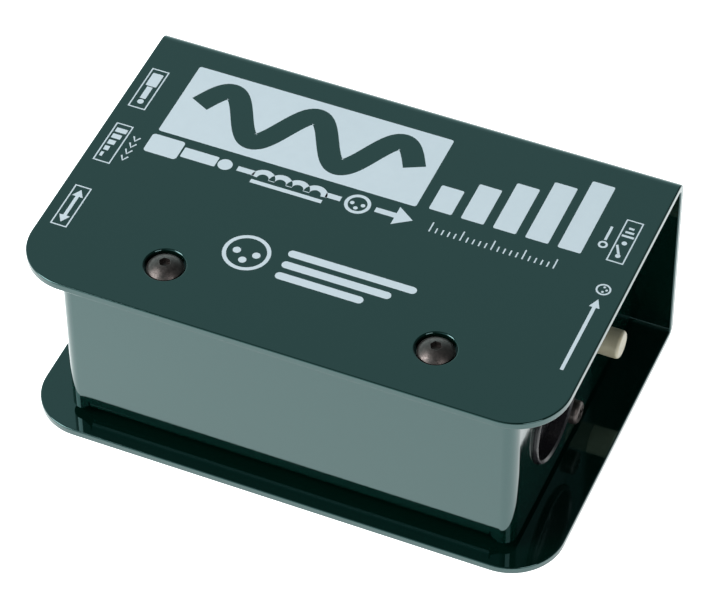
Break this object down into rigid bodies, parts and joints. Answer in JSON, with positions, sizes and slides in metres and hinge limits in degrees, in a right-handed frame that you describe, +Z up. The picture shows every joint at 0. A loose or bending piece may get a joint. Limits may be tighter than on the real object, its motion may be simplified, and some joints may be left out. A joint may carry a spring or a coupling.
{
  "type": "direct injection box",
  "caption": "Small folded-steel audio direct box: enamelled outer shell over an inset chassis, phone jacks and a pad button at one end, male output connector and a lift button at the other.",
  "frame": {"origin": "on the supporting surface under the middle of the case", "axes": "+Z up; X along the case from the input end (-X) to the output end (+X); the open front faces -Y, the shell's back wall is at +Y"},
  "size_m": [0.127, 0.0828, 0.0521],
  "materials": {
    "shell_enamel": "dark green gloss baked enamel on steel",
    "chassis_enamel": "dark green gloss baked enamel on steel",
    "neoprene": "matt black no-slip sheet",
    "black_oxide": "black oxide on steel, satin",
    "zinc_steel": "bright zinc plate",
    "board_laminate": "green solder mask on glass laminate",
    "resistor_body": "pale blue lacquer with tinned leads",
    "capacitor_box": "red moulded box",
    "black_plastic": "black moulding, fine satin",
    "black_plastic_insert": "black moulding, satin",
    "contact_metal": "tin or silver plate",
    "shield_can": "annealed nickel-iron, satin grey",
    "brown_board": "brown laminate",
    "lamination_steel": "dark grey laminations",
    "white_plastic": "natural white moulding",
    "copper_wire": "enamelled copper wire",
    "jack_plastic": "black glass-filled moulding",
    "nickel_brass": "nickel plate on brass",
    "spring_metal": "spring bronze, tinned",
    "switch_plastic": "black moulding",
    "ivory_plastic": "cream moulding, soft gloss"
  },
  "bodies": {
    "enclosure": {"outer_shell": "shell_enamel", "chassis": "chassis_enamel", "bottom_pad": "neoprene", "top_cover_screws": "black_oxide", "bottom_cover_screws": "black_oxide", "top_cover_washers": "black_oxide", "bottom_cover_washers": "black_oxide", "clinch_nuts": "zinc_steel", "circuit_board": "board_laminate", "board_standoffs": "zinc_steel", "board_screws": "zinc_steel", "pad_resistors": "resistor_body", "lift_resistor": "resistor_body", "lift_capacitor": "capacitor_box", "xlr_shell": "black_plastic", "xlr_insert": "black_plastic_insert", "xlr_pins": "contact_metal", "xlr_screws": "black_oxide", "xlr_nuts": "zinc_steel", "transformer_can": "shield_can", "transformer_base": "brown_board", "transformer_core": "lamination_steel", "transformer_bobbin": "white_plastic", "primary_winding": "copper_wire", "secondary_winding": "copper_wire", "transformer_pins": "contact_metal", "input_jack_housing": "jack_plastic", "input_jack_bush": "nickel_brass", "input_jack_washer": "nickel_brass", "input_jack_nut": "nickel_brass", "input_jack_pins": "contact_metal", "thru_jack_housing": "jack_plastic", "thru_jack_bush": "nickel_brass", "thru_jack_washer": "nickel_brass", "thru_jack_nut": "nickel_brass", "thru_jack_pins": "contact_metal", "pad_switch_body": "switch_plastic", "pad_return_spring": "spring_metal", "pad_switch_pins": "contact_metal", "lift_switch_body": "switch_plastic", "lift_return_spring": "spring_metal", "lift_switch_pins": "contact_metal"},
    "pad_button": {"pad_switch_plunger": "white_plastic", "pad_button_cap": "ivory_plastic", "pad_moving_contacts": "spring_metal"},
    "lift_button": {"lift_switch_plunger": "white_plastic", "lift_button_cap": "ivory_plastic", "lift_moving_contacts": "spring_metal"},
    "input_tip_contact": {"input_jack_tip_spring": "spring_metal"},
    "thru_tip_contact": {"thru_jack_tip_spring": "spring_metal"}
  },
  "joints": [
    {"name": "pad_press", "type": "slide", "parent": "enclosure", "child": "pad_button", "axis": [1, 0, 0], "range_m": [0, 0.003], "stiffness_N_per_m": 400, "springref_m": -0.002, "deforming": ["pad_return_spring"]},
    {"name": "lift_press", "type": "slide", "parent": "enclosure", "child": "lift_button", "axis": [-1, 0, 0], "range_m": [0, 0.003], "stiffness_N_per_m": 400, "springref_m": -0.002, "deforming": ["lift_return_spring"]},
    {"name": "input_tip_flex", "type": "hinge", "parent": "enclosure", "child": "input_tip_contact", "pos_m": [-0.044, 0.0221, 0.0275], "axis": [0, -1, 0], "range_deg": [0, 6], "stiffness_Nm_per_rad": 0.1, "springref_deg": -2.86},
    {"name": "thru_tip_flex", "type": "hinge", "parent": "enclosure", "child": "thru_tip_contact", "pos_m": [-0.044, -0.0189, 0.0275], "axis": [0, -1, 0], "range_deg": [0, 6], "stiffness_Nm_per_rad": 0.1, "springref_deg": -2.86}
  ]
}
